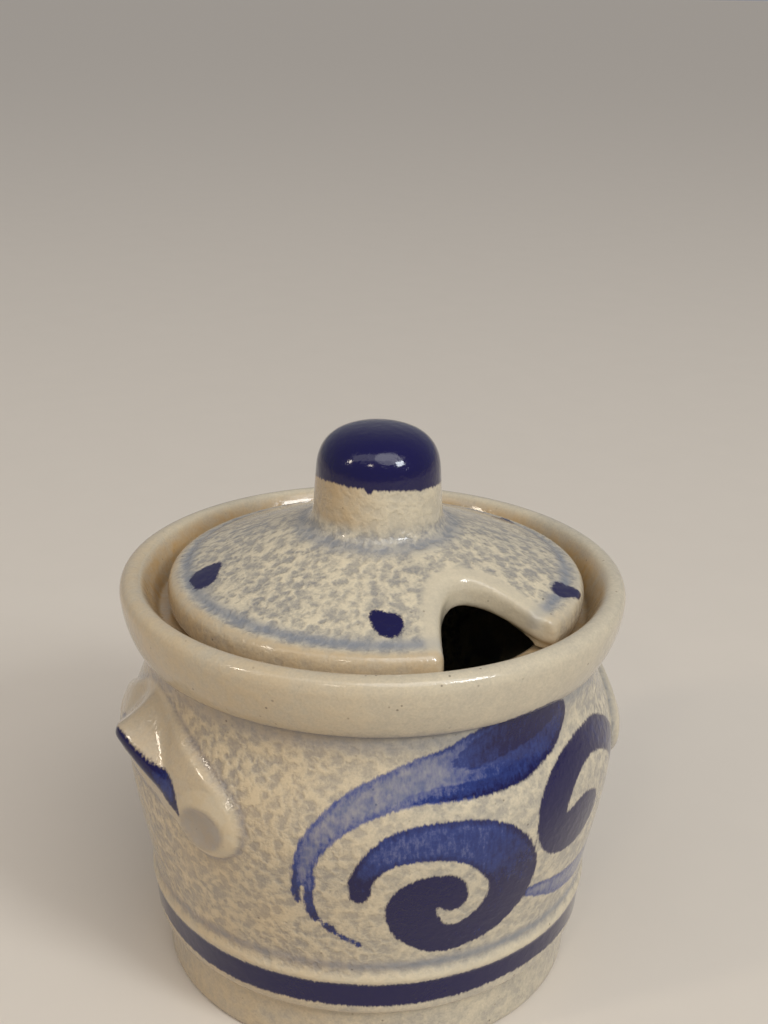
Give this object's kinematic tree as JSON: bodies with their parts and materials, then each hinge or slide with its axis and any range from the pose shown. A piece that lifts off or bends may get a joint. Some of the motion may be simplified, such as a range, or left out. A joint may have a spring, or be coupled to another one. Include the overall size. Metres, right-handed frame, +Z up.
{
  "type": "mustard pot",
  "caption": "Squat round stoneware pot with lug handles and a loose knobbed lid whose edge has a spoon notch, for serving mustard at the table",
  "frame": {"origin": "centre of the foot ring on the table", "axes": "+Z up, the handles along X, the painted front towards -Y"},
  "size_m": [0.098, 0.09, 0.1014],
  "materials": {
    "pot_glaze": "gloss",
    "lid_glaze": "gloss"
  },
  "bodies": {
    "root": {"pot": "pot_glaze", "lid": "lid_glaze"}
  },
  "joints": []
}
